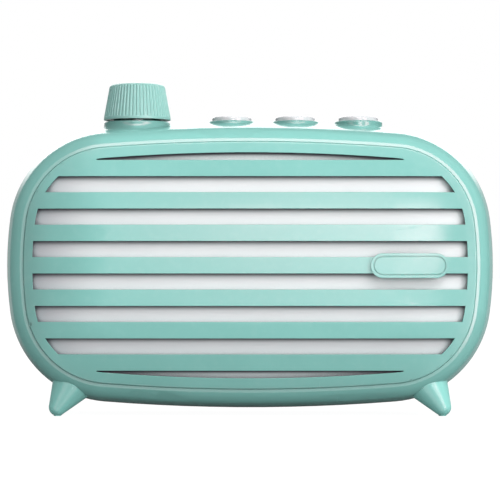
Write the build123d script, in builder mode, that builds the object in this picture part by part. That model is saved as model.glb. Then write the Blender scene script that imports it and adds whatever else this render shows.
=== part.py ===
from build123d import *
import math
import os

# Portable radio: a rounded cabinet on four splayed feet, with a slotted grille in front, a knob
# and three buttons on top, and a rear cover with a battery door. The inner parts are modelled too.
# Millimetres. Origin on the floor under the middle of the body, front towards -Y, +Z up,
# +X to the right of someone facing the front. Each piece is written to parts/<name>.step.

os.makedirs("parts", exist_ok=True)

CUT = Mode.SUBTRACT

# ---------------------------------------------------------------- driving dimensions
# Names that end in _D are offsets of the body outline, negative inwards.

# Body outline: four equal quarters of three tangent arcs
HALF_WIDTH = 72.6
HALF_HEIGHT = 42.5
SIDE_R = 107.4
CORNER_R = 30.9
TOP_R = 549.0
CENTRE_Z = 44.4                  # height of the body centre

# Wrap-around wall
CROWN_R = 42.0                   # crown across the depth
CROWN_HALF = 12.5                # half width of the crown
RIM_R = 6.2                      # tighter rim on both sides of the crown
HALF_DEPTH = 16.3                # half depth at the outer edge of the lips
LIP_SLOPE = 15.0                 # outward lean of the lips round the openings, degrees
CAVITY_D = -3.6                  # inside of the wall
CAVITY_Y = 12.4                  # inside of the front and back lips
OPEN_D = -6.2                    # front and back openings
SEAT_D = -8.0                    # opening behind the seat ring
SEAT_Y = 14.4

# Pillow-faced panels
PANEL_D = -6.27                  # panel outline
PANEL_EDGE = 17.1                # distance of the face from y = 0, at the panel edge
PANEL_RISE = 2.3                 # rise of the face from its edge to the flat middle
PANEL_SLOPE_W = 24.0             # width of the curved band
PANEL_POWER = 2.0
PANEL_STEPS = 12                 # spline spans across the curved band
PANEL_BACK_Y = SEAT_Y + 0.06
BAR_T = 1.6                      # thickness of the grille bars
GRILLE_POST_X = 50.5
GRILLE_POST_DZ = 28.2

# Top controls
KNOB_X = -33.8
KNOB_R0 = 10.0                   # at the foot
KNOB_R1 = 8.3                    # at the top
KNOB_Z0 = 87.9
KNOB_Z1 = 99.0
KNOB_COLLAR_R = KNOB_R0 - 0.1
KNOB_COLLAR_Z = 87.3
FLARE_R = 2.7
BUTTON_X = (-5.45, 13.5, 32.45)
BUTTON_R = 5.9
BUTTON_BORE_R = 5.97
BUTTON_COLLAR_R = 7.2
BUTTON_COLLAR_Z = 87.5
CONTROL_Z0 = 73.6                # control board, underside and top
CONTROL_Z1 = 75.2
CONTROL_POST_X = (4.02, 22.98)

# Feet; places along a foot axis are measured from the centre of its round tip
FOOT_X = 56.75
FOOT_Y = 11.0
FOOT_TIP_R = 2.6
FOOT_TILT_X = 31.6               # lean of the axis towards the middle, degrees
FOOT_TILT_Y = 14.0
FOOT_HALF_ANGLE = 23.2           # half angle of the cone
FOOT_CONE_L = 13.0
FOOT_PAD_T = 0.3
FOOT_HEAD_AT = 9.3               # seat of the fixing screw's head
FOOT_SCREW_TIP_AT = 2.6

# Inner layout
SPEAKER_X = -35.0
SPEAKER_Z = 44.4
SPEAKER_R = 28.5
BAFFLE_Y0 = -CAVITY_Y + 0.05
BAFFLE_Y1 = -CAVITY_Y + 2.05
JACK_X = -54.0
JACK_Z = 28.0

# Signs of the four corners
CORNERS = [(side, other) for side in (-1, 1) for other in (-1, 1)]


# ---------------------------------------------------------------- helpers for solids
def save(part, name):
    part.label = name
    export_step(part, "parts/" + name + ".step")


def around(middle, half):
    """Span that reaches half to each side of middle."""
    return (middle - half, middle + half)


def cyl_x(span, y, z, radius, mode=Mode.ADD):
    """Cylinder along X over a span, in the active part."""
    with Locations(Location((sum(span) / 2, y, z), (0, 90, 0))):
        Cylinder(radius, abs(span[1] - span[0]), mode=mode)


def cyl_y(x, span, z, radius, mode=Mode.ADD):
    """Cylinder along Y over a span, in the active part."""
    with Locations(Plane(origin=(x, sum(span) / 2, z), z_dir=(0, 1, 0))):
        Cylinder(radius, abs(span[1] - span[0]), mode=mode)


def cyl_z(x, span, radius, mode=Mode.ADD):
    """Upright cylinder on y = 0 over a span, in the active part."""
    with Locations((x, 0, sum(span) / 2)):
        Cylinder(radius, abs(span[1] - span[0]), mode=mode)


def block(span_x, span_y, span_z, mode=Mode.ADD):
    """Box over three spans, in the active part."""
    spans = (span_x, span_y, span_z)
    with Locations(tuple(sum(span) / 2 for span in spans)):
        Box(*[abs(span[1] - span[0]) for span in spans], mode=mode)


def screw_y(x, z, tip_y, seat_y, shank_r, head_r, gap=0.02, head_t=1.2):
    """Screw along Y with its head on the +Y side, gap clear of the shank end."""
    cyl_y(x, (tip_y, seat_y), z, shank_r)
    cyl_y(x, (seat_y + gap, seat_y + gap + head_t), z, head_r)


def y_ring(x, z, y0, y1, outer_r, inner_r):
    """Flat ring about an axis along Y."""
    with BuildPart() as ring:
        with BuildSketch(Plane.XZ.offset(-y1)):
            with Locations((x, z)):
                Circle(outer_r)
                Circle(inner_r, mode=CUT)
        extrude(amount=y1 - y0)
    return ring.part


def dome_mid(x, sag, top):
    """Middle point of a shallow dome arc from (x, top - sag) to (0, top) on the axis."""
    r = (x * x + sag * sag) / (2 * sag)
    return (x / 2, top - r + math.sqrt(r * r - x * x / 4))


# ---------------------------------------------------------------- body outline
def solve_corner(side_centre, top_centre):
    """Centre of the corner arc, tangent inside the side and top arcs, and its end angles."""
    side_gap = SIDE_R - CORNER_R
    top_gap = TOP_R - CORNER_R
    dx = top_centre[0] - side_centre[0]
    dy = top_centre[1] - side_centre[1]
    dist = math.hypot(dx, dy)
    along = (side_gap ** 2 - top_gap ** 2 + dist * dist) / (2 * dist)
    across = math.sqrt(side_gap ** 2 - along * along)
    ux, uy = dx / dist, dy / dist
    both = [(side_centre[0] + ux * along - uy * across * s,
             side_centre[1] + uy * along + ux * across * s) for s in (1, -1)]
    centre = max(both, key=lambda p: p[0] + p[1])
    side_end = math.atan2(centre[1] - side_centre[1], centre[0] - side_centre[0])
    top_end = math.atan2(centre[1] - top_centre[1], centre[0] - top_centre[0])
    return centre, side_end, top_end


SIDE_CENTRE = (HALF_WIDTH - SIDE_R, 0.0)
TOP_CENTRE = (0.0, HALF_HEIGHT - TOP_R)
CORNER_CENTRE, SIDE_END, TOP_END = solve_corner(SIDE_CENTRE, TOP_CENTRE)


def arc_point(centre, r, angle):
    return (centre[0] + r * math.cos(angle), centre[1] + r * math.sin(angle))


def corner_point(d, sx, sz):
    """World x, z of the 45 degree point of a corner arc moved outwards by d."""
    p = arc_point(CORNER_CENTRE, CORNER_R + d, math.radians(45))
    return sx * p[0], CENTRE_Z + sz * p[1]


def oval(d):
    """Closed outline moved outwards by d, in the active XZ line block."""
    side = arc_point(SIDE_CENTRE, SIDE_R + d, 0.0)
    side_mid = arc_point(SIDE_CENTRE, SIDE_R + d, SIDE_END / 2)
    side_end = arc_point(SIDE_CENTRE, SIDE_R + d, SIDE_END)
    corner = arc_point(CORNER_CENTRE, CORNER_R + d, (SIDE_END + TOP_END) / 2)
    top_end = arc_point(TOP_CENTRE, TOP_R + d, TOP_END)
    top = (0.0, HALF_HEIGHT + d)

    def at(p, sx, sz):
        return (sx * p[0], CENTRE_Z + sz * p[1])

    ThreePointArc(at(side, 1, 1), at(side_mid, 1, 1), at(side_end, 1, 1))
    ThreePointArc(at(side_end, 1, 1), at(corner, 1, 1), at(top_end, 1, 1))
    ThreePointArc(at(top_end, 1, 1), at(top, 1, 1), at(top_end, -1, 1))
    ThreePointArc(at(top_end, -1, 1), at(corner, -1, 1), at(side_end, -1, 1))
    ThreePointArc(at(side_end, -1, 1), at(side, -1, 1), at(side_end, -1, -1))
    ThreePointArc(at(side_end, -1, -1), at(corner, -1, -1), at(top_end, -1, -1))
    ThreePointArc(at(top_end, -1, -1), at(top, 1, -1), at(top_end, 1, -1))
    ThreePointArc(at(top_end, 1, -1), at(corner, 1, -1), at(side_end, 1, -1))
    ThreePointArc(at(side_end, 1, -1), at(side_mid, 1, -1), at(side, 1, 1))


def slab(d, y0, y1, opening_d=None):
    """Plate of the outline moved by d, from y0 to y1, with an optional opening."""
    with BuildPart() as plate:
        with BuildSketch(Plane.XZ.offset(-y1)):
            with BuildLine():
                oval(d)
            make_face()
        extrude(amount=y1 - y0)
        if opening_d is not None:
            with BuildSketch(Plane.XZ.offset(-y1)):
                with BuildLine():
                    oval(opening_d)
                make_face()
            extrude(amount=y1 - y0, mode=CUT)
    return plate.part


def pillow(inset, setback, back_y):
    """Pillow-faced plate facing -Y: edge inset from the panel outline, flat back at -back_y."""
    d = PANEL_D - inset
    edge_x = HALF_WIDTH + d
    band = PANEL_SLOPE_W - inset
    face = PANEL_EDGE - setback
    with BuildPart() as plate:
        with BuildLine(Plane.XZ) as path:
            oval(d)
        with BuildSketch(Plane.XY.offset(CENTRE_Z)):
            with BuildLine():
                pts = []
                for i in range(PANEL_STEPS + 1):
                    u = inset + band * i / PANEL_STEPS
                    rise = PANEL_RISE * (1 - (1 - u / PANEL_SLOPE_W) ** PANEL_POWER)
                    pts.append((HALF_WIDTH + PANEL_D - u, -face - rise))
                Spline(pts)
                Line(pts[-1], (edge_x - band, -back_y))
                Line((edge_x - band, -back_y), (edge_x, -back_y))
                Line((edge_x, -back_y), pts[0])
            make_face()
        sweep(path=path.line)
        with BuildSketch(Plane.XZ.offset(back_y)):
            with BuildLine():
                oval(d - band)
            make_face()
        extrude(amount=face + PANEL_RISE - back_y)
    return plate.part


def panel_shell(thickness):
    """Hollow pillow panel with a rounded outer edge, facing -Y."""
    with BuildPart() as shell:
        add(pillow(0.0, 0.0, PANEL_BACK_Y))
        rim = shell.edges().filter_by(lambda e: abs(e.center().Y + PANEL_EDGE) < 0.02)
        fillet(rim, radius=0.5)
        add(pillow(2.0, thickness, SEAT_Y - 1.0), mode=CUT)
    return shell.part


# ---------------------------------------------------------------- outer form of the body
crown_angle = math.asin(CROWN_HALF / CROWN_R)
crown_drop = CROWN_R * (1 - math.cos(crown_angle))
rim_turn = math.asin((HALF_DEPTH - CROWN_HALF) / RIM_R + math.sin(crown_angle))


def rim_at(angle):
    """Point of the rim arc as (y, offset of the outline)."""
    return (CROWN_HALF + RIM_R * (math.sin(angle) - math.sin(crown_angle)),
            -crown_drop - RIM_R * (math.cos(crown_angle) - math.cos(angle)))


rim_mid_y, rim_mid_d = rim_at((crown_angle + rim_turn) / 2)
rim_end_y, rim_end_d = rim_at(rim_turn)
LIP_D = OPEN_D - 0.6
LIP_Y = rim_end_y + (rim_end_d - LIP_D) * math.tan(math.radians(LIP_SLOPE))
SHAPER_Y = HALF_DEPTH + 2
SHAPER_D = 4

# ring that cuts the crown of the wall, the rounded rims and the sloping lips
with BuildPart() as shaper:
    with BuildLine(Plane.XZ) as shaper_path:
        oval(0.0)
    with BuildSketch(Plane.XY.offset(CENTRE_Z)):
        with BuildLine():
            crown_x = HALF_WIDTH - crown_drop
            mid_x = HALF_WIDTH + rim_mid_d
            end_x = HALF_WIDTH + rim_end_d
            lip_x = HALF_WIDTH + LIP_D
            outer_x = HALF_WIDTH + SHAPER_D
            ThreePointArc((crown_x, -CROWN_HALF), (HALF_WIDTH, 0.0), (crown_x, CROWN_HALF))
            ThreePointArc((crown_x, CROWN_HALF), (mid_x, rim_mid_y), (end_x, rim_end_y))
            Polyline(
                (end_x, rim_end_y), (lip_x, LIP_Y), (lip_x, SHAPER_Y), (outer_x, SHAPER_Y),
                (outer_x, -SHAPER_Y), (lip_x, -SHAPER_Y), (lip_x, -LIP_Y), (end_x, -rim_end_y))
            ThreePointArc((end_x, -rim_end_y), (mid_x, -rim_mid_y), (crown_x, -CROWN_HALF))
        make_face()
    sweep(path=shaper_path.line)

with BuildPart() as body_solid:
    add(slab(2.0, -LIP_Y, LIP_Y))
    add(shaper.part, mode=CUT)

# ---------------------------------------------------------------- feet
FOOT_SCREW_R = 1.0
FOOT_HOLE_R = 1.02


def foot_plane(sx, sy, along=0.0):
    """Plane square to a foot axis, at a distance up the axis."""
    lean_x = math.tan(math.radians(FOOT_TILT_X))
    lean_y = math.tan(math.radians(FOOT_TILT_Y))
    v = (-sx * lean_x, -sy * lean_y, 1.0)
    length = math.sqrt(sum(c * c for c in v))
    axis = tuple(c / length for c in v)
    tip = (sx * FOOT_X, sy * FOOT_Y, FOOT_TIP_R)
    return Plane(origin=tuple(t + along * c for t, c in zip(tip, axis)), z_dir=axis)


def foot_cyl(sx, sy, start, end, radius, mode=Mode.ADD):
    """Cylinder on a foot axis between two distances, in the active part."""
    with Locations(foot_plane(sx, sy, (start + end) / 2)):
        Cylinder(radius, end - start, mode=mode)


def make_foot(sx, sy):
    sin_half = math.sin(math.radians(FOOT_HALF_ANGLE))
    cos_half = math.cos(math.radians(FOOT_HALF_ANGLE))
    wide_r = (FOOT_TIP_R + FOOT_CONE_L * sin_half) / cos_half
    tangent = (FOOT_TIP_R * cos_half, -FOOT_TIP_R * sin_half)
    via = math.radians(33)       # angle from the axis of the tip arc's middle point
    with BuildPart() as cone:
        with BuildSketch(Plane.XZ):
            with BuildLine():
                Line((0, -FOOT_TIP_R), (0, FOOT_CONE_L))
                Line((0, FOOT_CONE_L), (wide_r, FOOT_CONE_L))
                Line((wide_r, FOOT_CONE_L), tangent)
                ThreePointArc(tangent,
                              (FOOT_TIP_R * math.sin(via), -FOOT_TIP_R * math.cos(via)),
                              (0, -FOOT_TIP_R))
            make_face()
        revolve(axis=Axis.Z)
    with BuildPart() as foot:
        add(foot_plane(sx, sy).location * cone.part)
        # flush with the depth of the cabinet
        block((-100, 100), around(0, HALF_DEPTH - 0.1), (-10, 30), Mode.INTERSECT)
        add(body_solid.part, mode=CUT)
        # flat at the tip for the pad
        block(around(sx * FOOT_X, 6), around(sy * FOOT_Y, 6), (-3.3, FOOT_PAD_T), CUT)
        # hole for the fixing screw
        foot_cyl(sx, sy, 1.1, 10.1, FOOT_HOLE_R, CUT)
    return foot.part


for sx, x_name in ((-1, "left"), (1, "right")):
    for sy, y_name in ((-1, "front"), (1, "rear")):
        save(make_foot(sx, sy), "foot_" + y_name + "_" + x_name)

with BuildPart() as foot_pads:
    with BuildSketch(Plane.XY):
        with Locations(*[(sx * FOOT_X, sy * FOOT_Y) for sx, sy in CORNERS]):
            Circle(1.14)
    extrude(amount=FOOT_PAD_T)
    fillet(foot_pads.faces().filter_by(lambda f: f.center().Z < 0.01).edges(), radius=0.1)
save(foot_pads.part, "foot_pads")

# screws run from inside the cabinet down the axis of each foot
with BuildPart() as foot_screws:
    for sx, sy in CORNERS:
        foot_cyl(sx, sy, FOOT_SCREW_TIP_AT, FOOT_HEAD_AT, FOOT_SCREW_R)
        foot_cyl(sx, sy, FOOT_HEAD_AT, FOOT_HEAD_AT + 1.2, 2.0)
save(foot_screws.part, "foot_screws")

# ---------------------------------------------------------------- cabinet
COVER_POST_D = -9.7              # screw posts of the rear cover
COVER_POST_R = 3.0
COVER_PILOT_R = 1.27
RIB_D = -6.25                    # middle of the ribs between posts and wall
RIB_L = 7.0
RIB_T = 2.4
POST_Y0 = 2.0
RIB_Y = 8.2
RIB_DEPTH = 8.0
COLLAR_BASE_Z = 80.0             # the collars start inside the solid body
BORE_SPAN = (79.0, 91.0)

# foot of the knob collar, turned about Z
with BuildPart() as flare:
    with BuildSketch(Plane.XZ):
        with BuildLine():
            flare_out_r = KNOB_COLLAR_R + FLARE_R
            flare_z = KNOB_COLLAR_Z - 0.55
            flare_base_z = 82.0
            inset = FLARE_R * math.sqrt(0.5)
            Line((0, flare_base_z), (0, flare_z))
            Line((0, flare_z), (KNOB_COLLAR_R, flare_z))
            ThreePointArc((KNOB_COLLAR_R, flare_z),
                          (flare_out_r - inset, flare_z - inset),
                          (flare_out_r, flare_z - FLARE_R))
            Line((flare_out_r, flare_z - FLARE_R), (flare_out_r, flare_base_z))
            Line((flare_out_r, flare_base_z), (0, flare_base_z))
        make_face()
    revolve(axis=Axis.Z)


def is_button_root(edge):
    """True for the edges where the button collars meet the crown."""
    mid = edge @ 0.5
    return 82 < edge.center().Z < 87.2 and any(
        abs(math.hypot(mid.X - x, mid.Y) - BUTTON_COLLAR_R) < 0.02 for x in BUTTON_X)


with BuildPart() as cabinet:
    add(body_solid.part)
    # raised collars for the knob and the three buttons, standing on the crown
    with BuildSketch(Plane.XY.offset(COLLAR_BASE_Z)):
        with Locations((KNOB_X, 0)):
            Circle(KNOB_COLLAR_R)
    extrude(amount=KNOB_COLLAR_Z - COLLAR_BASE_Z)
    with BuildSketch(Plane.XY.offset(COLLAR_BASE_Z)):
        with Locations(*[(x, 0) for x in BUTTON_X]):
            Circle(BUTTON_COLLAR_R)
    extrude(amount=BUTTON_COLLAR_Z - COLLAR_BASE_Z)
    tops = cabinet.faces().filter_by(Plane.XY).filter_by(lambda f: f.center().Z > 87.0)
    fillet(tops.edges(), radius=0.5)
    roots = cabinet.edges().filter_by(GeomType.BSPLINE).filter_by(is_button_root)
    fillet(roots, radius=0.8)
    # the knob collar flares out and runs into the front and back of the crown
    add(Pos(KNOB_X, 0, 0) * flare.part)
    add(slab(CAVITY_D, -CAVITY_Y, CAVITY_Y), mode=CUT)
    # front and back openings with their seats
    add(slab(OPEN_D, -HALF_DEPTH - 1, -SEAT_Y), mode=CUT)
    add(slab(SEAT_D, -SEAT_Y - 0.1, -CAVITY_Y + 0.1), mode=CUT)
    add(slab(OPEN_D, SEAT_Y, HALF_DEPTH + 1), mode=CUT)
    add(slab(SEAT_D, CAVITY_Y - 0.1, SEAT_Y + 0.1), mode=CUT)
    # four screw posts for the rear cover, joined to the wall by ribs
    for sx, sz in CORNERS:
        post_x, post_z = corner_point(COVER_POST_D, sx, sz)
        rib_x, rib_z = corner_point(RIB_D, sx, sz)
        cyl_y(post_x, (POST_Y0, SEAT_Y), post_z, COVER_POST_R)
        with Locations(Plane(origin=(rib_x, RIB_Y, rib_z), x_dir=(sx, 0, sz), z_dir=(0, 1, 0))):
            Box(RIB_L, RIB_T, RIB_DEPTH)
        cyl_y(post_x, (POST_Y0 + 1.5, SEAT_Y + 0.1), post_z, COVER_PILOT_R, CUT)
    # posts under the top wall that carry the control board
    for x in CONTROL_POST_X:
        cyl_z(x, (CONTROL_Z1 + 0.1, 84.5), 2.3)
        cyl_z(x, (CONTROL_Z1, 80.4), 1.02, CUT)
    # bores for the potentiometer bushing and its nut
    cyl_z(KNOB_X, BORE_SPAN, 3.65, CUT)
    cyl_z(KNOB_X, (84.9, 89.9), 6.4, CUT)
    # button bores, each with a flat spot under the wall for the button flange
    for x in BUTTON_X:
        cyl_z(x, BORE_SPAN, BUTTON_BORE_R, CUT)
        cyl_z(x, (79.45, 82.35), 7.0, CUT)
    # clearance and head spot faces for the foot screws
    for sx, sy in CORNERS:
        foot_cyl(sx, sy, 0.0, 20.0, 1.1, CUT)
        foot_cyl(sx, sy, FOOT_HEAD_AT, FOOT_HEAD_AT + 6.0, 2.4, CUT)
save(cabinet.part, "cabinet")

# ---------------------------------------------------------------- grille panel
GRILLE_POSTS = [(sx * GRILLE_POST_X, CENTRE_Z + sz * GRILLE_POST_DZ) for sx, sz in CORNERS]
SLOT_D = -9.0                    # outline that bounds the slots
SLOT_PITCH = 9.46
SLOT_H = 4.68
SLOT_Y = (-22.0, -13.0)
LENS_DZ = 30.75                  # straight edge of the lens slots, from the body centre
LENS_HALF = 44.8                 # half length of the lens slots
LENS_D = -9.5                    # outline of their curved edge
LENS_TRIM_DZ = 27.5              # the curved edge is trimmed only beyond this height


def grille_slots():
    """Six straight slots and two lens slots, as a cutting solid."""
    y0, y1 = SLOT_Y
    bar_y = (y0 - 1, y1 + 1)
    bar_half = (SLOT_PITCH - SLOT_H) / 2
    outer_slot_dz = 2.5 * SLOT_PITCH + SLOT_H / 2
    with BuildPart() as slots:
        add(slab(SLOT_D, y0, y1))
        with BuildPart(mode=Mode.PRIVATE) as bars:
            for i in range(-2, 3):
                block((-80, 80), bar_y, around(CENTRE_Z + i * SLOT_PITCH, bar_half))
            for sz in (-1, 1):
                # bar between the last straight slot and the lens slot
                block((-80, 80), bar_y,
                      (CENTRE_Z + sz * outer_slot_dz, CENTRE_Z + sz * LENS_DZ))
                # solid ends beyond the lens slot
                for sx in (-1, 1):
                    block((sx * LENS_HALF, sx * (LENS_HALF + 40)), bar_y,
                          around(CENTRE_Z + sz * (LENS_DZ + 5), 5.5))
        add(bars.part, mode=CUT)
        # the curved edge of the lens slots lies a little further in
        with BuildPart(mode=Mode.PRIVATE) as edge_trim:
            add(slab(SLOT_D + 1.0, y0 - 1, y1 + 1, LENS_D))
            block((-85, 85), (y0 - 2, y1 + 2), around(CENTRE_Z, LENS_TRIM_DZ), CUT)
        add(edge_trim.part, mode=CUT)
    return slots.part


with BuildPart() as grille_panel:
    add(panel_shell(BAR_T))
    add(grille_slots(), mode=CUT)
    for x, z in GRILLE_POSTS:
        cyl_y(x, (-16.7, -12.42), z, 2.1)
        cyl_y(x, (-16.6, -12.2), z, 1.02, CUT)
save(grille_panel.part, "grille_panel")

# ---------------------------------------------------------------- nameplate
# plain pill plate on the right of the grille, with a fine groove inside its edge
NAME_PLACE = (46.5, 44.3)        # x, z
NAME_L = 22.8
NAME_H = 7.2
NAME_T = 0.9
GROOVE_DEPTH = 0.25
GROOVE_OUTER = 1.6               # taken off the plate's length and height
GROOVE_INNER = 2.2
NAME_PLANE = Plane.XZ.offset(PANEL_EDGE + PANEL_RISE - 3.0)
NAME_BLANK_T = 5.0
with BuildPart() as nameplate:
    with BuildSketch(NAME_PLANE):
        with Locations(NAME_PLACE):
            SlotOverall(NAME_L, NAME_H)
    extrude(amount=NAME_BLANK_T)
    add(pillow(0.0, -NAME_T, PANEL_BACK_Y), mode=Mode.INTERSECT)
    with BuildPart(mode=Mode.PRIVATE) as groove_ring:
        with BuildSketch(NAME_PLANE):
            with Locations(NAME_PLACE):
                SlotOverall(NAME_L - GROOVE_OUTER, NAME_H - GROOVE_OUTER)
                SlotOverall(NAME_L - GROOVE_INNER, NAME_H - GROOVE_INNER, mode=CUT)
        extrude(amount=NAME_BLANK_T)
        add(pillow(0.0, GROOVE_DEPTH - NAME_T, PANEL_BACK_Y), mode=CUT)
    add(groove_ring.part, mode=CUT)
    add(pillow(0.0, 0.0, PANEL_BACK_Y), mode=CUT)
save(nameplate.part, "nameplate")

# ---------------------------------------------------------------- cloth, its frame and the baffle
CLOTH_INSET = 2.15
CLOTH_T = 0.5
CLOTH_SETBACK = BAR_T + 0.12
CLOTH_POST_HOLE_R = 2.25
with BuildPart() as grille_cloth:
    add(pillow(CLOTH_INSET, CLOTH_SETBACK, 13.5))
    add(pillow(CLOTH_INSET, CLOTH_SETBACK + CLOTH_T, 13.0), mode=CUT)
    for x, z in GRILLE_POSTS:
        cyl_y(x, (-21.0, -11.0), z, CLOTH_POST_HOLE_R, CUT)
save(grille_cloth.part, "grille_cloth")

with BuildPart() as cloth_frame:
    add(slab(PANEL_D - CLOTH_INSET, -15.05, -CAVITY_Y - 0.02, PANEL_D - 5.2))
    for x, z in GRILLE_POSTS:
        cyl_y(x, (-19.0, -9.0), z, CLOTH_POST_HOLE_R, CUT)
save(cloth_frame.part, "cloth_frame")

SPEAKER_SCREW_CIRCLE = 27.1
SPEAKER_SCREWS = [(SPEAKER_X + SPEAKER_SCREW_CIRCLE * math.cos(math.radians(a)),
                   SPEAKER_Z + SPEAKER_SCREW_CIRCLE * math.sin(math.radians(a)))
                  for a in (45, 135, 225, 315)]
BAFFLE_CUT = (-15.0, -7.0)
with BuildPart() as baffle_board:
    add(slab(-4.0, BAFFLE_Y0, BAFFLE_Y1))
    cyl_y(SPEAKER_X, BAFFLE_CUT, SPEAKER_Z, 24.75, CUT)
    for x, z in GRILLE_POSTS:
        cyl_y(x, BAFFLE_CUT, z, 1.1, CUT)
    for x, z in SPEAKER_SCREWS:
        cyl_y(x, BAFFLE_CUT, z, 0.82, CUT)
    # room for the heads of the front foot screws
    for sx in (-1, 1):
        foot_cyl(sx, -1, FOOT_HEAD_AT - 1.0, FOOT_HEAD_AT + 7.0, 2.6, CUT)
    # three rows of small holes beside the speaker opening
    with Locations(*[Plane(origin=(x, sum(BAFFLE_CUT) / 2, CENTRE_Z + dz), z_dir=(0, 1, 0))
                     for x in range(8, 49, 8) for dz in (-14, 0, 14)]):
        Cylinder(2.2, BAFFLE_CUT[1] - BAFFLE_CUT[0], mode=CUT)
save(baffle_board.part, "baffle_board")

with BuildPart() as baffle_screws:
    for x, z in GRILLE_POSTS:
        screw_y(x, z, tip_y=-16.2, seat_y=BAFFLE_Y1, shank_r=1.0, head_r=2.0)
save(baffle_screws.part, "baffle_screws")

# ---------------------------------------------------------------- speaker
GASKET_Y = BAFFLE_Y1 + 0.02
GASKET_T = 0.8
FRAME_Y = GASKET_Y + GASKET_T + 0.02
MAGNET_Y = FRAME_Y + 11.02
FLANGE_T = 1.1
SPEAKER_HOLE_R = 0.95

# Turned profiles, as (radius, y behind the front of the speaker frame)
FRAME_PROFILE = [
    (25.0, 0), (SPEAKER_R, 0), (SPEAKER_R, FLANGE_T), (25.55, FLANGE_T), (14.2, 10.0),
    (14.2, 11.0), (6.0, 11.0), (6.0, 10.0), (13.4, 10.0), (25.0, 1.0)]
SURROUND_PROFILE = [
    (22.55, -0.4), (23.2, -1.2), (24.2, -1.2), (24.85, -0.4), (24.85, 0.5), (24.4, 0.5),
    (24.4, -0.1), (23.9, -0.8), (23.4, -0.8), (22.9, -0.1), (22.9, 0.5), (22.55, 0.5)]
CONE_PROFILE = [
    (22.45, -0.3), (22.45, 0.5), (21.9, 0.8), (5.75, 7.2), (5.75, 6.7), (21.7, 0.2),
    (22.0, -0.3)]
COIL_PROFILE = [(5.3, 5.9), (5.7, 5.9), (5.7, 13.4), (5.3, 13.4)]
DUST_CAP_PROFILE = [
    (0, 3.2), (2.6, 3.5), (4.8, 4.5), (5.9, 5.8), (5.2, 5.8), (4.4, 4.9), (2.4, 4.0), (0, 3.7)]
# the same, measured from the front of the magnet ring
MAGNET_PROFILE = [
    (6.4, 0), (13.6, 0), (13.6, 6.0), (0, 6.0), (0, -1.2), (5.0, -1.2), (5.0, 4.4), (6.4, 4.4)]


def spun(profile, start_y=FRAME_Y):
    """Piece turned about the speaker axis from a profile that starts at start_y."""
    with BuildPart() as turned:
        with BuildSketch(Plane.XY.offset(SPEAKER_Z)):
            with BuildLine():
                Polyline(*[(SPEAKER_X + r, start_y + y) for r, y in profile], close=True)
            make_face()
        revolve(axis=Axis((SPEAKER_X, 0, SPEAKER_Z), (0, 1, 0)))
    return turned.part


with BuildPart() as speaker_gasket:
    add(y_ring(SPEAKER_X, SPEAKER_Z, GASKET_Y, GASKET_Y + GASKET_T, SPEAKER_R, 24.9))
    for x, z in SPEAKER_SCREWS:
        cyl_y(x, around(GASKET_Y, 4.0), z, SPEAKER_HOLE_R, CUT)
save(speaker_gasket.part, "speaker_gasket")

with BuildPart() as speaker_frame:
    add(spun(FRAME_PROFILE))
    for x, z in SPEAKER_SCREWS:
        cyl_y(x, around(FRAME_Y, 4.0), z, SPEAKER_HOLE_R, CUT)
    # six round windows in the basket
    for k in range(6):
        angle = math.radians(60 * k)
        cyl_y(SPEAKER_X + 20.0 * math.cos(angle), (FRAME_Y + 1.0, FRAME_Y + 10.0),
              SPEAKER_Z + 20.0 * math.sin(angle), 3.6, CUT)
save(speaker_frame.part, "speaker_frame")

save(spun(MAGNET_PROFILE, MAGNET_Y), "speaker_magnet")
save(spun(SURROUND_PROFILE), "speaker_surround")
save(spun(CONE_PROFILE), "speaker_cone")
save(spun(COIL_PROFILE), "voice_coil")
save(spun(DUST_CAP_PROFILE), "dust_cap")

with BuildPart() as speaker_screws:
    for x, z in SPEAKER_SCREWS:
        screw_y(x, z, tip_y=-12.3, seat_y=FRAME_Y + FLANGE_T, shank_r=0.8, head_r=1.3,
                gap=0.04, head_t=1.0)
save(speaker_screws.part, "speaker_screws")

# ---------------------------------------------------------------- knob
KNOB_FLUTES = 56
FLUTE_R = 0.4
FLUTE_HALF = 6.2                 # half length of a flute
HUB_R = 4.9
shoulder_r = KNOB_R1 + 0.12
shoulder_z = KNOB_Z1 - 1.9
skirt_z = KNOB_Z0 + 0.6
dome_r = KNOB_R1 - 1.3
DOME_SAG = 0.5
with BuildPart() as volume_knob:
    with BuildSketch(Plane.XZ):
        with BuildLine():
            Polyline((0, KNOB_Z0), (KNOB_R0, KNOB_Z0), (KNOB_R0, skirt_z),
                     (shoulder_r, shoulder_z))
            ThreePointArc((shoulder_r, shoulder_z), (KNOB_R1 - 0.35, KNOB_Z1 - 0.85),
                          (dome_r, KNOB_Z1 - DOME_SAG))
            ThreePointArc((dome_r, KNOB_Z1 - DOME_SAG), dome_mid(dome_r, DOME_SAG, KNOB_Z1),
                          (0, KNOB_Z1))
            Line((0, KNOB_Z1), (0, KNOB_Z0))
        make_face()
    revolve(axis=Axis.Z)
    # flutes that follow the taper of the side
    taper = math.atan((KNOB_R0 - shoulder_r) / (shoulder_z - skirt_z))
    flute_x = KNOB_R0 + 0.13 - FLUTE_HALF * math.tan(taper)
    flute_z = KNOB_Z0 + 0.75 + FLUTE_HALF
    with BuildPart(mode=Mode.PRIVATE) as flute:
        with Locations(Location((flute_x, 0, flute_z), (0, -math.degrees(taper), 0))):
            Cylinder(FLUTE_R, 2 * FLUTE_HALF)
    for k in range(KNOB_FLUTES):
        add(flute.part, rotation=(0, 0, 360.0 / KNOB_FLUTES * k), mode=CUT)
    # hollow underside, hub and shaft bore
    with BuildSketch(Plane.XY.offset(KNOB_Z0)):
        Circle(KNOB_R1 - 1.0)
        Circle(HUB_R, mode=CUT)
    extrude(amount=7.6, mode=CUT)
    cyl_z(0, (KNOB_Z0 - 0.1, KNOB_Z0 + 8.1), 3.02, CUT)
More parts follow.
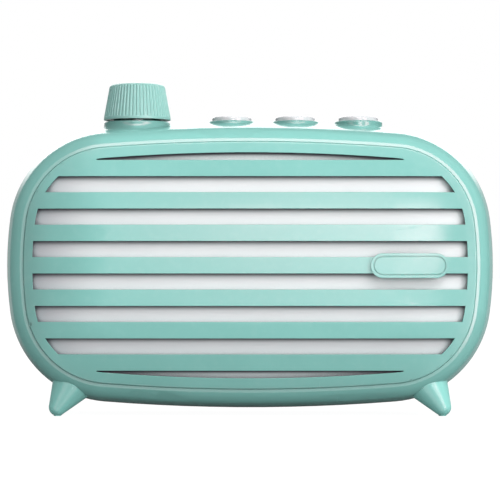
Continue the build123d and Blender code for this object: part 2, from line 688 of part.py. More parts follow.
save(Pos(KNOB_X, 0, 0) * volume_knob.part, "volume_knob")

# ---------------------------------------------------------------- potentiometer
SHAFT_Z0 = 77.0
with BuildPart() as pot_shaft:
    cyl_z(KNOB_X, (SHAFT_Z0, 95.8), 3.0)
    cyl_z(KNOB_X, (SHAFT_Z0 - 1.0, SHAFT_Z0), 5.0)
save(pot_shaft.part, "pot_shaft")

with BuildPart() as volume_pot:
    cyl_z(KNOB_X, (74.3, 81.7), 8.0)
    cyl_z(KNOB_X, (81.2, 86.6), 3.5)
    # room for the shaft and the disc at its foot
    cyl_z(KNOB_X, (SHAFT_Z0, 87.0), 3.04, CUT)
    cyl_z(KNOB_X, (75.65, 77.15), 5.1, CUT)
save(volume_pot.part, "volume_pot")

with BuildPart() as pot_nut:
    with BuildSketch(Plane.XY.offset(84.95)):
        with Locations((KNOB_X, 0)):
            RegularPolygon(5.6, 6)
            Circle(3.52, mode=CUT)
    extrude(amount=1.6)
save(pot_nut.part, "pot_nut")

with BuildPart() as pot_pins:
    for dx in (-4, 0, 4):
        block(around(KNOB_X + dx, 0.5), (-9.95, -8.05), around(76.0, 0.2))
save(pot_pins.part, "pot_pins")

# ---------------------------------------------------------------- buttons, switches and their board
BUTTON_Z1 = 89.1
FLANGE_Z0 = 80.35
FLANGE_Z1 = 81.5
FLANGE_R = 6.7
BUTTON_SAG = 0.3
SWITCH_Z1 = 78.9
button_dome_r = BUTTON_R - 0.6
with BuildPart() as button:
    with BuildSketch(Plane.XZ):
        with BuildLine():
            Polyline((0, FLANGE_Z0), (FLANGE_R, FLANGE_Z0), (FLANGE_R, FLANGE_Z1),
                     (BUTTON_R, FLANGE_Z1), (BUTTON_R, BUTTON_Z1 - 0.95))
            ThreePointArc((BUTTON_R, BUTTON_Z1 - 0.95), (BUTTON_R - 0.16, BUTTON_Z1 - 0.52),
                          (button_dome_r, BUTTON_Z1 - BUTTON_SAG))
            ThreePointArc((button_dome_r, BUTTON_Z1 - BUTTON_SAG),
                          dome_mid(button_dome_r, BUTTON_SAG, BUTTON_Z1), (0, BUTTON_Z1))
            Line((0, BUTTON_Z1), (0, FLANGE_Z0))
        make_face()
    revolve(axis=Axis.Z)

for x, name in zip(BUTTON_X, ("tune_down", "band", "tune_up")):
    save(Pos(x, 0, 0) * button.part, name + "_button")
    with BuildPart() as plunger:
        cyl_z(x, (78.3, FLANGE_Z0 - 0.02), 1.72)
    save(plunger.part, name + "_plunger")

with BuildPart() as tact_switches:
    for x in BUTTON_X:
        block(around(x, 3.1), around(0, 3.1), (CONTROL_Z1 + 0.01, SWITCH_Z1 + 0.01))
        cyl_z(x, around(SWITCH_Z1, 1.7), 1.8, CUT)
save(tact_switches.part, "tact_switches")

with BuildPart() as control_board:
    block(around(BUTTON_X[1], 27.5), around(0, 8.5), (CONTROL_Z0, CONTROL_Z1))
    for x in CONTROL_POST_X:
        cyl_z(x, around(CONTROL_Z0, 3.0), 1.15, CUT)
save(control_board.part, "control_board")

with BuildPart() as control_board_screws:
    for x in CONTROL_POST_X:
        cyl_z(x, (CONTROL_Z0, 79.8), 1.0)
        cyl_z(x, (CONTROL_Z0 - 1.22, CONTROL_Z0 - 0.02), 1.9)
save(control_board_screws.part, "control_board_screws")

# ---------------------------------------------------------------- rear cover and battery door
DOOR_X0 = -4.0
DOOR_X1 = 51.0
DOOR_Z0 = 16.0
DOOR_Z1 = 48.6
DOOR_MID_X = (DOOR_X0 + DOOR_X1) / 2
DOOR_GAP = 0.25
HINGE_Y = 18.3
HINGE_Z = 16.9
COVER_SEAT_Y = 17.0              # floor of the screw counterbores
VENTS = 5
VENT_PITCH = 5.4
VENT_H = 2.2
VENT_L = 34.0                    # middle vent; each step outwards is shorter by VENT_STEP
VENT_STEP = 4
VENT_Y0 = 12.0
VENT_CUT = 12.0
COVER_POSTS = [corner_point(COVER_POST_D, sx, sz) for sx, sz in CORNERS]
back_shell = panel_shell(BAR_T + 0.2).mirror(Plane.XZ)

with BuildPart() as rear_cover:
    add(back_shell)
    # opening for the battery door
    block((DOOR_X0 - DOOR_GAP, DOOR_X1 + DOOR_GAP), (12.0, 24.0),
          (DOOR_Z0 - DOOR_GAP, DOOR_Z1 + DOOR_GAP), CUT)
    # ears that carry the hinge pins
    for x in (DOOR_X0 - 1.6, DOOR_X1 + 1.6):
        cyl_x(around(x, 1.3), HINGE_Y - 0.3, HINGE_Z, 1.45)
        cyl_x(around(x, 3.0), HINGE_Y, HINGE_Z, 0.56, CUT)
    # screw columns with counterbored holes
    for x, z in COVER_POSTS:
        cyl_y(x, (14.6, 17.4), z, 2.8)
        cyl_y(x, (10.2, 22.2), z, 1.35, CUT)
        cyl_y(x, (COVER_SEAT_Y, COVER_SEAT_Y + 4.0), z, 2.4, CUT)
    # vents behind the speaker
    for i in range(VENTS):
        step = i - VENTS // 2
        with BuildSketch(Plane.XZ.offset(-VENT_Y0)):
            with Locations((SPEAKER_X + 3, CENTRE_Z + step * VENT_PITCH + 6)):
                SlotOverall(VENT_L - VENT_STEP * abs(step), VENT_H)
        extrude(amount=-VENT_CUT, mode=CUT)
    # flat and hole for the earphone jack
    cyl_y(JACK_X, (16.4, 18.8), JACK_Z, 5.0)
    cyl_y(JACK_X, (18.8, 22.8), JACK_Z, 4.3, CUT)
    cyl_y(JACK_X, (12.0, 24.0), JACK_Z, 3.1, CUT)
save(rear_cover.part, "rear_cover")

with BuildPart() as battery_door:
    add(back_shell)
    block((DOOR_X0, DOOR_X1), (12.0, 26.0), (DOOR_Z0, DOOR_Z1), Mode.INTERSECT)
    # hinge barrel along the lower edge
    cyl_x((DOOR_X0 + 0.1, DOOR_X1 - 0.1), HINGE_Y - 0.1, HINGE_Z, 0.82)
    # finger scoop at the top edge
    cyl_x(around(DOOR_MID_X, 6.0), 23.6, DOOR_Z1 - 1.0, 4.0, CUT)
    # holes for the hinge pins
    for x in (DOOR_X0, DOOR_X1):
        cyl_x(around(x, 3.1), HINGE_Y, HINGE_Z, 0.52, CUT)
save(battery_door.part, "battery_door")

with BuildPart() as battery_door_pins:
    for x in (DOOR_X0 - 0.2, DOOR_X1 + 0.2):
        cyl_x(around(x, 2.5), HINGE_Y, HINGE_Z, 0.5)
save(battery_door_pins.part, "battery_door_pins")

with BuildPart() as rear_cover_screws:
    for x, z in COVER_POSTS:
        screw_y(x, z, tip_y=5.0, seat_y=COVER_SEAT_Y + 0.02, shank_r=1.25, head_r=2.3, gap=0.0)
        # driver slot across the head
        with Locations(Plane(origin=(x, 18.2, z), z_dir=(0, 1, 0))):
            Box(2.8, 0.5, 0.8, mode=CUT)
save(rear_cover_screws.part, "rear_cover_screws")

# ---------------------------------------------------------------- earphone jack
JACK_END_Y = 19.4
with BuildPart() as earphone_jack:
    block(around(JACK_X, 4.0), (4.5, 15.4), around(JACK_Z, 4.0))
    cyl_y(JACK_X, (15.2, JACK_END_Y), JACK_Z, 3.0)
    cyl_y(JACK_X, (JACK_END_Y - 13.0, JACK_END_Y), JACK_Z, 1.8, CUT)
save(earphone_jack.part, "earphone_jack")
save(y_ring(JACK_X, JACK_Z, 18.85, 19.35, 4.0, 3.02), "jack_nut")

# ---------------------------------------------------------------- batteries, tray and contacts
BATTERY_R = 7.2
BATTERY_L = 49.0                 # with the nub
BATTERY_X = 23.5
BATTERY_Y = 6.0
BATTERY_Z = (24.6, 39.8)
BATTERY_HALF = BATTERY_L / 2
FLAT_DX = BATTERY_HALF - 0.4     # flat end of a battery, from the middle
TRAY_X0 = DOOR_X0 + 0.4
TRAY_X1 = DOOR_X1 - 0.4
TRAY_Y0 = BATTERY_Y - BATTERY_R - 1.6
TRAY_Z0 = 16.2
TRAY_Z1 = 48.2
TRAY_END_T = 1.2
TRAY_SIDE_T = 1.0
TRAY_FLOOR_T = 1.3
CONTACT_INSET = TRAY_END_T + 0.26
SPRING_INSET = 1.72

with BuildPart() as battery_tray:
    block((TRAY_X0, TRAY_X1), (TRAY_Y0, 12.0), (TRAY_Z0, TRAY_Z1))
    block((TRAY_X0 + TRAY_END_T, TRAY_X1 - TRAY_END_T), (TRAY_Y0 + TRAY_FLOOR_T, 14.0),
          (TRAY_Z0 + TRAY_SIDE_T, TRAY_Z1 - TRAY_SIDE_T), CUT)
save(battery_tray.part, "battery_tray")

# the lower battery has its nub towards +X, the upper one towards -X
with BuildPart() as batteries:
    for s, z in zip((1, -1), BATTERY_Z):
        cyl_x((BATTERY_X - s * FLAT_DX, BATTERY_X + s * (BATTERY_HALF - 1.2)),
              BATTERY_Y, z, BATTERY_R)
        cyl_x((BATTERY_X + s * (BATTERY_HALF - 1.8), BATTERY_X + s * BATTERY_HALF),
              BATTERY_Y, z, 2.7)
save(batteries.part, "batteries")

with BuildPart() as battery_contacts:
    for x in (TRAY_X0 + CONTACT_INSET, TRAY_X1 - CONTACT_INSET):
        block(around(x, 0.2), around(BATTERY_Y, 5.0), around(sum(BATTERY_Z) / 2, 13.0))
save(battery_contacts.part, "battery_contacts")

# short sleeves between the contacts and the flat ends of the batteries
with BuildPart() as battery_springs:
    for x0, x1, z in (
            (TRAY_X0 + SPRING_INSET, BATTERY_X - FLAT_DX - 0.04, BATTERY_Z[0]),
            (BATTERY_X + FLAT_DX + 0.04, TRAY_X1 - SPRING_INSET, BATTERY_Z[1])):
        cyl_x((x0, x1), BATTERY_Y, z, 3.4)
        cyl_x((x0 - 1.0, x1 + 1.0), BATTERY_Y, z, 2.6, CUT)
save(battery_springs.part, "battery_springs")

# ---------------------------------------------------------------- main board
BOARD_X = (-4.0, 56.0)
BOARD_Y = (-4.0, -2.4)
BOARD_Z = (49.2, 71.2)
HOLE_INSET = 3
BOARD_HOLES = [(x, z) for z in (BOARD_Z[0] + HOLE_INSET, BOARD_Z[1] - HOLE_INSET)
               for x in (BOARD_X[0] + HOLE_INSET, BOARD_X[1] - HOLE_INSET)]
PARTS_Y = BOARD_Y[1] + 0.01      # the components stand on the rear face of the board
SPACER_Y = (BAFFLE_Y1 + 0.02, BOARD_Y[0] - 0.02)

with BuildPart() as main_board:
    block(BOARD_X, BOARD_Y, BOARD_Z)
    for x, z in BOARD_HOLES:
        cyl_y(x, around(BOARD_Y[1], 3.0), z, 1.2, CUT)
save(main_board.part, "main_board")

with BuildPart() as board_spacers:
    for x, z in BOARD_HOLES:
        cyl_y(x, SPACER_Y, z, 2.4)
        cyl_y(x, (SPACER_Y[0] - 5.0, SPACER_Y[1] + 5.0), z, 1.05, CUT)
save(board_spacers.part, "board_spacers")

with BuildPart() as board_screws:
    for x, z in BOARD_HOLES:
        screw_y(x, z, tip_y=BAFFLE_Y1 + 0.3, seat_y=BOARD_Y[1], shank_r=1.0, head_r=1.9)
save(board_screws.part, "board_screws")

CHIPS = ((14, 60.2, 12, 6.4), (38, 62.0, 8, 5))                 # x, z, width, height
with BuildPart() as chips:
    for x, z, width, height in CHIPS:
        block(around(x, width / 2), (PARTS_Y, PARTS_Y + 1.8), around(z, height / 2))
save(chips.part, "chips")

ELECTROLYTICS = ((27, 66, 3.1, 10.0), (27, 57, 2.5, 8.0), (47, 66.5, 2.5, 8.0))
with BuildPart() as electrolytics:
    for x, z, radius, length in ELECTROLYTICS:
        cyl_y(x, (PARTS_Y, PARTS_Y + length), z, radius)
save(electrolytics.part, "electrolytics")

CAN_PLACES = ((4.5, 66.5), (35, 54.5), (45, 54.5))              # x, z
CAN_HALF = 3.5
CAN_L = 8.4
with BuildPart() as if_cans:
    for x, z in CAN_PLACES:
        block(around(x, CAN_HALF), (PARTS_Y, PARTS_Y + CAN_L), around(z, CAN_HALF))
        cyl_y(x, around(PARTS_Y + CAN_L, 0.6), z, 2.0, CUT)
save(if_cans.part, "if_cans")

with BuildPart() as tuning_slugs:
    for x, z in CAN_PLACES:
        cyl_y(x, around(PARTS_Y + 8.1, 0.25), z, 1.9)
save(tuning_slugs.part, "tuning_slugs")

RESISTORS = ((12, 54.2), (12, 51.9), (20.5, 54.2), (20.5, 51.9), (15, 67.5), (15, 69.5))
with BuildPart() as resistors:
    for x, z in RESISTORS:
        cyl_x(around(x, 2.75), PARTS_Y + 0.95, z, 0.9)
save(resistors.part, "resistors")

# ---------------------------------------------------------------- ferrite aerial along the case floor
ROD_Y = 2.0
ROD_Z = 10.9
ROD_R = 3.4
ROD_HALF = 36.0
ROD_BORE_R = ROD_R + 0.03
COIL_X = -8

with BuildPart() as ferrite_rod:
    cyl_x(around(0, ROD_HALF), ROD_Y, ROD_Z, ROD_R)
save(ferrite_rod.part, "ferrite_rod")

with BuildPart() as antenna_coil:
    cyl_x(around(COIL_X, 11.0), ROD_Y, ROD_Z, 4.3)
    cyl_x(around(COIL_X, 15.0), ROD_Y, ROD_Z, ROD_BORE_R, CUT)
save(antenna_coil.part, "antenna_coil")

with BuildPart() as rod_holders:
    for x in (-31, 31):
        block(around(x, 2.0), around(ROD_Y, 5.0), (5.4, 14.4))
        cyl_x(around(x, 4.0), ROD_Y, ROD_Z, ROD_BORE_R, CUT)
    # the undersides follow the inside of the wall
    add(slab(CAVITY_D - 0.05, -12.0, 12.0), mode=Mode.INTERSECT)
save(rod_holders.part, "rod_holders")

# ---------------------------------------------------------------- wires
WIRE_R = 0.45
# points x, y, z along each wire
SPEAKER_WIRES = (
    [(SPEAKER_X + 14.8, 2.4, 56.0), (-12, 3.6, 60.0), (-6, 1.8, 61.5), (-1.0, -1.6, 61.0)],
    [(SPEAKER_X + 14.8, 2.4, 53.0), (-11, 4.0, 55.5), (-5, 2.0, 57.5), (-1.0, -1.6, 58.0)],
)
BATTERY_WIRES = (
    [(TRAY_X1 + 0.6, 2.0, 30.0), (TRAY_X1 + 2.4, 2.6, 38.0), (TRAY_X1 + 2.2, 2.2, 47.0),
     (50.6, 1.0, 55.0), (49.2, -1.6, 59.0)],
    [(TRAY_X1 + 0.6, 4.5, 34.0), (TRAY_X1 + 3.8, 4.4, 40.0), (TRAY_X1 + 3.8, 4.0, 49.0),
     (52.6, 1.6, 58.0), (51.4, -1.6, 61.5)],
)


def wire(points):
    with BuildPart() as strand:
        with BuildLine() as path:
            Spline(*points)
        with BuildSketch(Plane(origin=path.line @ 0, z_dir=path.line % 0)):
            Circle(WIRE_R)
        sweep()
    return strand.part


for name, runs in (("speaker_wires", SPEAKER_WIRES), ("battery_wires", BATTERY_WIRES)):
    with BuildPart() as wires:
        for points in runs:
            add(wire(points))
    save(wires.part, name)
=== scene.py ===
"""Looks and studio for a small mint portable radio.

Metres, +Z up. The radio stands on z = 0, its front faces -Y and its width runs along X.
Left and right are as seen by a viewer in front of it.
"""
import math

import bpy
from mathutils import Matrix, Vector


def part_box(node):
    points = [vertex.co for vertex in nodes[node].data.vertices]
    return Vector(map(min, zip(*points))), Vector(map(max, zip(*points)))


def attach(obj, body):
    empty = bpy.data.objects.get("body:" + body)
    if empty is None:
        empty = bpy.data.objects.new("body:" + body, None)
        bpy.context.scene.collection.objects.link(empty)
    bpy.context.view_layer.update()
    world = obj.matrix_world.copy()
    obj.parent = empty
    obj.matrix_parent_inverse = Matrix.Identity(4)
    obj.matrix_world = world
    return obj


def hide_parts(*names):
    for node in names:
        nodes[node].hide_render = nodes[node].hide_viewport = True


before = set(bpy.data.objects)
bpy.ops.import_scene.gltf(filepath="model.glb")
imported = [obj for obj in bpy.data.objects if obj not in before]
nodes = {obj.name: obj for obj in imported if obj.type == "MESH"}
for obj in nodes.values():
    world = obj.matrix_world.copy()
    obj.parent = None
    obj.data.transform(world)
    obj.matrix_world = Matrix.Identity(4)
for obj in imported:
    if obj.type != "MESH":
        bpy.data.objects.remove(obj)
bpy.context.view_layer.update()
scene = bpy.context.scene


# ------------------------------------------------------------------ node graphs
class Value:
    """One node output; arithmetic on it adds math nodes."""

    def __init__(self, graph, socket):
        self.graph = graph
        self.socket = socket

    def math(self, operation, other=None):
        return self.graph.math(operation, self, other)

    def __add__(self, other):
        return self.math("ADD", other)

    def __radd__(self, other):
        return self.graph.math("ADD", other, self)

    def __sub__(self, other):
        return self.math("SUBTRACT", other)

    def __rsub__(self, other):
        return self.graph.math("SUBTRACT", other, self)

    def __mul__(self, other):
        return self.math("MULTIPLY", other)

    def __truediv__(self, other):
        return self.math("DIVIDE", other)

    def __abs__(self):
        return self.math("ABSOLUTE")

    def linear(self, over, to, **settings):
        """Carry the range `over` to the range `to`, clamped at both ends."""
        inputs = {
            "Value": self,
            "From Min": over[0], "From Max": over[1],
            "To Min": to[0], "To Max": to[1],
        }
        return self.graph.value("ShaderNodeMapRange", "Result", inputs, **settings)

    def step(self, over, to=(0.0, 1.0)):
        """The same with soft ends."""
        return self.linear(over, to, interpolation_type="SMOOTHSTEP")


class Graph:
    """A node tree, emptied, with short ways to add nodes."""

    def __init__(self, tree):
        self.tree = tree
        tree.nodes.clear()

    def fill(self, node, inputs):
        """Link or set inputs by name or index; None leaves one alone."""
        for key, value in inputs.items():
            socket = node.inputs[key]
            if isinstance(value, Value):
                self.tree.links.new(value.socket, socket)
            elif value is not None:
                if socket.type == "RGBA":
                    value = (*value, 1.0)
                socket.default_value = value

    def node(self, kind, inputs=None, **settings):
        node = self.tree.nodes.new(kind)
        for key, value in settings.items():
            setattr(node, key, value)
        self.fill(node, inputs or {})
        return node

    def value(self, kind, output=0, inputs=None, **settings):
        return Value(self, self.node(kind, inputs, **settings).outputs[output])

    def math(self, operation, a, b=None):
        return self.value("ShaderNodeMath", 0, {0: a, 1: b}, operation=operation)

    def coord(self, which="Object"):
        return self.value("ShaderNodeTexCoord", which)

    def xyz(self, vector):
        node = self.node("ShaderNodeSeparateXYZ", {0: vector})
        return [Value(self, output) for output in node.outputs]

    def mapped(self, vector, scale, turn=(0, 0, 0)):
        inputs = {"Vector": vector, "Scale": scale, "Rotation": turn}
        return self.value("ShaderNodeMapping", "Vector", inputs)

    def noise(self, vector, scale=1.0, detail=3.0, roughness=0.55, distortion=0.0):
        inputs = {
            "Vector": vector, "Scale": scale, "Detail": detail,
            "Roughness": roughness, "Distortion": distortion,
        }
        return self.value("ShaderNodeTexNoise", "Fac", inputs)

    def random(self, key):
        inputs = {"W": key}
        return self.value("ShaderNodeTexWhiteNoise", "Value", inputs, noise_dimensions="1D")

    def mix(self, factor, a, b, data_type="RGBA"):
        node = self.node("ShaderNodeMix", data_type=data_type)
        self.fill(node, {"Factor": factor, "A": a, "B": b})
        return Value(self, node.outputs["Result"])

    def mottle(self, pattern, color, dark, light, over=(0.3, 0.7)):
        """One colour, darkened and lightened by a pattern."""
        return self.mix(pattern.step(over=over), shade(color, dark), shade(color, light))

    def bevel(self, radius, samples=3):
        return self.value("ShaderNodeBevel", "Normal", {"Radius": radius}, samples=samples)

    def bump(self, height, strength, distance, normal=None):
        inputs = {
            "Strength": strength, "Distance": distance, "Height": height, "Normal": normal,
        }
        return self.value("ShaderNodeBump", "Normal", inputs)

    def mix_shader(self, factor, a, b):
        return self.value("ShaderNodeMixShader", 0, {0: factor, 1: a, 2: b})


def length(a, b):
    return (a * a + b * b).math("SQRT")


def off_centre(value):
    """Distance from the middle of each unit cell."""
    return abs(value.math("FRACT") - 0.5)


def shade(color, factor):
    return tuple(channel * factor for channel in color)


def principled(name):
    material = bpy.data.materials.new(name)
    material.use_nodes = True
    graph = Graph(material.node_tree)
    output = graph.node("ShaderNodeOutputMaterial")
    shader = graph.node("ShaderNodeBsdfPrincipled")
    graph.tree.links.new(shader.outputs["BSDF"], output.inputs["Surface"])
    return material, graph, shader


# ------------------------------------------------------------------ materials
def hairlines(graph, coord):
    """Two families of fine scratches, kept to patches."""
    first = graph.noise(graph.mapped(coord, (60, 60, 2600), turn=(0.0, 0.35, 0.2)), detail=2.0)
    second = graph.noise(graph.mapped(coord, (2400, 60, 70), turn=(0.2, -0.5, 0.1)), detail=2.0)
    scratch = first.step(over=(0.70, 0.78)).math("MAXIMUM", second.step(over=(0.71, 0.79)))
    return scratch * graph.noise(coord, scale=60.0, detail=2.0).step(over=(0.52, 0.66))


def paint_end_shade(graph, coord, base, x_fade, z_fade):
    """Paint shade towards the left end and the lower edge, where less light falls; a fade is
    (range, least tone).
    """
    x, y, z = graph.xyz(coord)
    (x_over, x_tone), (z_over, z_tone) = x_fade, z_fade
    light = x.step(over=x_over, to=(x_tone, 1.0)) * z.step(over=z_over, to=(z_tone, 1.0))
    return graph.mix(1.0 - light, base, (0.0, 0.0, 0.0))


def paint_collar_shade(graph, coord, base, color, collar_shade):
    """Paint shade in rings round upright axes at y = 0, a painted contact shadow round each
    collar.
    """
    x, y, z = graph.xyz(coord)
    for axis_x, radii, heights, amount in collar_shade:
        radius = length(x - axis_x, y)
        mask = radius.step(over=radii, to=(amount, 0.0)) * z.step(over=heights)
        base = graph.mix(mask, base, shade(color, 0.3))
    return base


def calm_slivers(graph, normal, agreement):
    """Use the facet's own normal where the smoothed one leans away from it."""
    geometry = graph.node("ShaderNodeNewGeometry")
    smooth = Value(graph, geometry.outputs["Normal"])
    facet = Value(graph, geometry.outputs["True Normal"])
    inputs = {0: smooth, 1: facet}
    dot = graph.value("ShaderNodeVectorMath", "Value", inputs, operation="DOT_PRODUCT")
    return graph.mix(dot.step(over=agreement), facet, normal, data_type="VECTOR")


def gloss_plastic(name, color, roughness=(0.17, 0.25), edge=0.00022, variation=0.05, coat=0.25,
                  grazing=None, end_shade=None, collar_shade=None, agreement=None):
    """Gloss plastic: faint orange peel, hairline scratches, uneven gloss, softened edges; can
    paint shade at grazing angles, towards the ends and round collars.
    """
    material, graph, shader = principled(name)
    coord = graph.coord()
    big = graph.noise(coord, scale=22.0, detail=4.0)
    fine = graph.noise(coord, scale=420.0)
    grit = graph.noise(coord, scale=2600.0, detail=2.0)
    scratch = hairlines(graph, coord)
    dust = (0.86, 0.87, 0.86)
    base = graph.mottle(big, color, dark=1.0 - variation, light=1.0 + variation * 0.6)
    base = graph.mix(fine.step(over=(0.45, 0.75)) * 0.02, base, dust)
    if grazing:
        # painted shade: the colour darkens towards grazing angles, standing in for dark edges
        facing = graph.value("ShaderNodeLayerWeight", "Facing", {"Blend": 0.5})
        amount = facing.step(over=grazing["over"], to=(0.0, grazing["amount"]))
        base = graph.mix(amount, base, grazing["color"])
    if end_shade:
        # painted shade, darker towards the left end and the lower edge
        base = paint_end_shade(graph, coord, base, *end_shade)
    if collar_shade:
        # painted contact shade round the knob and button collars
        base = paint_collar_shade(graph, coord, base, color, collar_shade)
    uneven = big.linear(over=(0.3, 0.7), to=roughness) + scratch * 0.12
    height = fine * 0.8 + grit * 0.12 - scratch * 0.5
    normal = graph.bevel(edge, samples=4) if edge else None
    if agreement:
        normal = calm_slivers(graph, normal, agreement)
    graph.fill(shader, {
        "Base Color": base,
        "Roughness": uneven,
        "IOR": 1.5,
        "Coat Weight": coat,
        "Coat Roughness": 0.07,
        "Normal": graph.bump(height, strength=0.10, distance=0.000018, normal=normal),
    })
    return material


def matte(name, color, roughness, grain, depth, strength=0.5, variation=0.15, metallic=0.0,
          edge=0.0):
    """Plain moulded or cast stuff: mottled colour, uneven roughness and a fine grain."""
    material, graph, shader = principled(name)
    coord = graph.coord()
    big = graph.noise(coord, scale=70.0, detail=4.0)
    fine = graph.noise(coord, scale=grain, detail=4.0)
    grey = (0.5, 0.5, 0.5)
    base = graph.mottle(big, color, dark=1 - variation, light=1 + variation)
    base = graph.mix(fine.step(over=(0.6, 0.8)) * 0.10, base, grey)
    uneven = fine.linear(over=(0.3, 0.7), to=(roughness - 0.08, roughness + 0.10))
    normal = graph.bevel(edge) if edge else None
    graph.fill(shader, {
        "Base Color": base,
        "Roughness": uneven,
        "Metallic": metallic,
        "Normal": graph.bump(fine, strength, depth, normal),
    })
    return material


def brushed(name, color, roughness=0.28, axis=2):
    """Plated steel: fine lines drawn along an axis, dull patches, a few dark specks."""
    material, graph, shader = principled(name)
    coord = graph.coord()
    stretch = [1200.0] * 3
    stretch[axis] = 40.0
    lines = graph.noise(graph.mapped(coord, stretch))
    big = graph.noise(coord, scale=120.0, detail=4.0)
    cells = graph.value("ShaderNodeTexVoronoi", "Distance", {"Vector": coord, "Scale": 900.0})
    speck = cells.step(over=(0.0, 0.12), to=(1.0, 0.0))
    tarnish = (0.16, 0.14, 0.12)
    base = graph.mottle(big, color, dark=0.86, light=1.08)
    base = graph.mix(speck * 0.35, base, tarnish)
    edge = graph.bevel(0.0001)
    graph.fill(shader, {
        "Base Color": base,
        "Metallic": 1.0,
        "Roughness": lines.linear(over=(0.3, 0.7), to=(roughness - 0.06, roughness + 0.12)),
        "Normal": graph.bump(lines, strength=0.35, distance=0.00002, normal=edge),
    })
    return material


def wound(name, color, axis, pitch):
    """Closely wound wire: rounded ridges along an axis, colour varying turn by turn, painted
    shade in the grooves between turns.
    """
    material, graph, shader = principled(name)
    turns = graph.xyz(graph.coord())[axis] / pitch
    ridge = abs((turns * math.pi).math("SINE"))
    groove_shade = (0.05, 0.025, 0.012)
    tint = graph.random(turns.math("FLOOR"))
    base = graph.mix(tint, shade(color, 0.8), shade(color, 1.12))
    # painted shade in the grooves between turns
    base = graph.mix(ridge.step(over=(0.0, 0.35), to=(0.75, 0.0)), base, groove_shade)
    graph.fill(shader, {
        "Base Color": base,
        "Metallic": 0.8,
        "Roughness": 0.32,
        "Normal": graph.bump(ridge, strength=0.9, distance=pitch * 0.4),
    })
    return material


THREAD_PITCH = 0.00042
BAR_PITCH = 0.00946        # straight grille bars, centre to centre
BAR_ROWS = 6
BAR_HALF_HEIGHT = 0.00239
BAR_MIDDLE_Z = 0.0444      # the top bar of the rows lies three pitches above this
TOP_BAR_LOWER_Z = BAR_MIDDLE_Z + 3 * BAR_PITCH - BAR_HALF_HEIGHT
BAR_OVERLAP = 0.0004       # the shade lines start this far above the bar's lower edge
ARCH_TOP_Z = 0.0774        # curved edge of the upper lens slot: z = top - x * x / spread
ARCH_SPREAD = 1.079
LOWER_SLOT_Z = 0.01365     # straight edge of the lower lens slot


def shade_lines(x, z):
    """Thin lines of shade on the cloth, just under the bars and slot edges."""
    row = (TOP_BAR_LOWER_Z + BAR_OVERLAP - z) / BAR_PITCH
    under = row.math("FRACT") * BAR_PITCH
    within = row.step(over=(-0.001, 0.0)) * row.step(over=(BAR_ROWS - 0.05, BAR_ROWS),
                                                    to=(1.0, 0.0))
    line = under.step(over=(0.0001, 0.0020), to=(1.0, 0.0)) * within
    below_arch = ARCH_TOP_Z - x * x / ARCH_SPREAD - z
    below_slot = LOWER_SLOT_Z - z
    for gap in (below_arch, below_slot):
        fade = gap.step(over=(0.0001, 0.0012), to=(1.0, 0.0))
        line = line.math("MAXIMUM", fade * gap.step(over=(-0.0007, -0.0006)))
    return line


def cloth(name, color):
    """Fine speaker cloth: over and under weave, small slubs, painted shade towards the left end
    and the bottom, painted shadow close to the bars.
    """
    material, graph, shader = principled(name)
    coord = graph.coord()
    x, y, z = graph.xyz(coord)
    warp = (x * (2 * math.pi / THREAD_PITCH)).math("SINE")
    weft = (z * (2 * math.pi / THREAD_PITCH)).math("SINE")
    weave = warp * weft
    slub = graph.noise(graph.mapped(coord, (90, 90, 1500)))
    big = graph.noise(coord, scale=30.0)
    slub_color = (0.80, 0.79, 0.77)
    gap_color = (0.55, 0.55, 0.56)
    left_shade = (0.22, 0.21, 0.25)
    deep_shade = (0.050, 0.038, 0.055)
    base = graph.mottle(big, color, dark=0.975, light=1.0)
    base = graph.mix(slub.step(over=(0.62, 0.75)) * 0.10, base, slub_color)
    base = graph.mix(weave.step(over=(-1.0, -0.6), to=(0.06, 0.0)), base, gap_color)
    # painted shadow from an occlusion test aimed at the light, which reaches the cloth from the
    # front, above and to the right
    inputs = {"Distance": 0.008, "Normal": Vector((0.50, -0.75, 0.42)).normalized()}
    openness = graph.value("ShaderNodeAmbientOcclusion", "AO", inputs, samples=12)
    # painted shade: darker towards the left end and the bottom, where less light falls
    across = (x.step(over=(-0.068, -0.044), to=(0.36, 0.90))
              * x.step(over=(-0.050, -0.010), to=(0.90, 1.0)))
    upward = z.step(over=(0.008, 0.042), to=(0.66, 1.0))
    base = graph.mix(across * upward, left_shade, base)
    base = graph.mix(openness.step(over=(0.29, 0.54), to=(0.28, 1.0)), deep_shade, base)
    # painted shadow lines just under the bars and slot edges
    base = graph.mix(shade_lines(x, z) * 0.97, base, deep_shade)
    height = weave * 0.5 + slub * 0.4
    graph.fill(shader, {
        "Base Color": base,
        "Roughness": 0.75,
        "Sheen Weight": 0.25,
        "Specular IOR Level": 0.3,
        "Normal": graph.bump(height, strength=0.25, distance=0.00003),
    })
    return material


def paper(name, color):
    """Pressed paper pulp: fibres, and concentric ribs round the speaker axis."""
    material, graph, shader = principled(name)
    coord = graph.coord()
    x, y, z = graph.xyz(coord)
    low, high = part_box("speaker_cone")
    rib_pitch = 0.0021
    radius = length(x - 0.5 * (low[0] + high[0]), z - 0.5 * (low[2] + high[2]))
    ribs = (radius * (2 * math.pi / rib_pitch)).math("SINE")
    fibre = graph.noise(graph.mapped(coord, (900, 300, 700), turn=(0.3, 0.5, 0.2)),
                        detail=5.0, roughness=0.7, distortion=1.2)
    height = ribs * 0.4 + fibre
    graph.fill(shader, {
        "Base Color": graph.mottle(fibre, color, dark=0.7, light=1.6, over=(0.35, 0.7)),
        "Roughness": fibre.linear(over=(0.3, 0.7), to=(0.72, 0.95)),
        "Normal": graph.bump(height, strength=0.6, distance=0.00008),
    })
    return material


